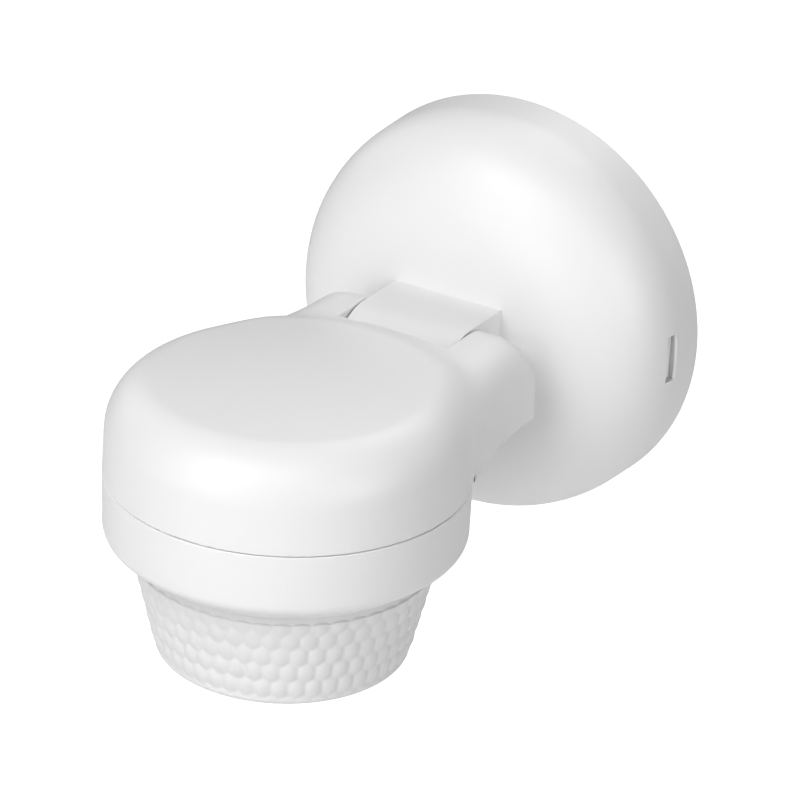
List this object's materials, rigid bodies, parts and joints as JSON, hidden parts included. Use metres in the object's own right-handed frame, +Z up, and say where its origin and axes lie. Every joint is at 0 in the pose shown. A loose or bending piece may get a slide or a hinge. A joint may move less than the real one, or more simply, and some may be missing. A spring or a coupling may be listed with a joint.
{
  "type": "wall motion sensor",
  "caption": "Wall-mounted motion sensor: a domed round base carries a round head with a downward lens on a tilting hinge.",
  "frame": {"origin": "centre of the base on the wall surface, midway between the two wall screws", "axes": "+Z up, +Y into the wall, +X to the right as the sensor is faced; the head reaches along -Y"},
  "size_m": [0.1, 0.1388, 0.1007],
  "materials": {
    "white_shell": "moulded white polycarbonate, fine satin texture",
    "plate_plastic": "moulded off-white plastic",
    "dark_plastic": "black moulded plastic",
    "seal_rubber": "soft black silicone rubber",
    "lens_film": "milky infrared-clear polyethylene with small lens cells",
    "terminal_plastic": "pale grey polyamide",
    "zinc_steel": "zinc-plated steel",
    "axle_steel": "ground stainless steel",
    "bush_plastic": "natural acetal",
    "wire_insulation": "PVC insulation",
    "cable_jacket": "flexible PVC jacket",
    "circuit_board": "green solder mask",
    "relay_plastic": "blue sealed relay case",
    "capacitor_plastic": "yellow box capacitor",
    "connector_plastic": "natural polyamide",
    "capacitor_sleeve": "dark shrink sleeve",
    "varistor_coat": "blue epoxy coat",
    "detector_can": "nickel-plated can",
    "clear_resin": "clear epoxy",
    "led_resin": "red-tinted epoxy",
    "pot_plastic": "blue trimmer case",
    "dial_plastic": "orange setting dial"
  },
  "bodies": {
    "base": {"base_cover": "white_shell", "base_plate": "plate_plastic", "wall_seal": "seal_rubber", "cable_grommet": "seal_rubber", "terminal_block": "terminal_plastic", "terminal_screws": "zinc_steel", "supply_leads": "wire_insulation", "power_board": "circuit_board", "board_screws": "zinc_steel", "relay": "relay_plastic", "suppression_capacitor": "capacitor_plastic", "board_socket": "connector_plastic", "storage_capacitor": "capacitor_sleeve", "varistor": "varistor_coat", "fuse": "dark_plastic", "hinge_axle": "axle_steel", "axle_clips": "zinc_steel", "hinge_seals": "seal_rubber", "base_cable": "cable_jacket"},
    "latch": {"release_latch": "plate_plastic"},
    "head": {"head_cap": "white_shell", "ear_bushes": "bush_plastic", "friction_washers": "zinc_steel", "head_chassis": "plate_plastic", "chassis_screws": "zinc_steel", "neck_screws": "zinc_steel", "sensor_board_screws": "zinc_steel", "head_gasket": "seal_rubber", "sensor_board": "circuit_board", "sensor_tower": "dark_plastic", "pir_front": "detector_can", "pir_right": "detector_can", "pir_left": "detector_can", "light_sensor": "clear_resin", "status_led": "led_resin", "setting_pots": "pot_plastic", "microcontroller": "dark_plastic", "head_connector": "connector_plastic", "head_cable": "cable_jacket"},
    "lens_assembly": {"lens_ring": "white_shell", "lens": "lens_film", "lens_retainer": "plate_plastic", "ring_gasket": "seal_rubber"},
    "time_knob": {"time_dial": "dial_plastic"},
    "lux_knob": {"lux_dial": "dial_plastic"},
    "range_knob": {"range_dial": "dial_plastic"}
  },
  "joints": [
    {"name": "head_tilt", "type": "hinge", "parent": "base", "child": "head", "pos_m": [0, -0.045, -0.0014], "axis": [-1, 0, 0], "range_deg": [-45, 45]},
    {"name": "latch_press", "type": "hinge", "parent": "base", "child": "latch", "pos_m": [0.044, -0.0034, 0.001], "axis": [0, 0, -1], "range_deg": [0, 14], "stiffness_Nm_per_rad": 0.15},
    {"name": "lens_twist", "type": "hinge", "parent": "head", "child": "lens_assembly", "pos_m": [0, -0.0978, -0.0145], "axis": [0, 0, -1], "range_deg": [0, 45]},
    {"name": "time_turn", "type": "hinge", "parent": "head", "child": "time_knob", "pos_m": [-0.01607, -0.11695, -0.0105], "axis": [0, 0, -1], "range_deg": [-135, 135]},
    {"name": "lux_turn", "type": "hinge", "parent": "head", "child": "lux_knob", "pos_m": [0, -0.1228, -0.0105], "axis": [0, 0, -1], "range_deg": [-135, 135]},
    {"name": "range_turn", "type": "hinge", "parent": "head", "child": "range_knob", "pos_m": [0.01607, -0.11695, -0.0105], "axis": [0, 0, -1], "range_deg": [-135, 135]}
  ]
}
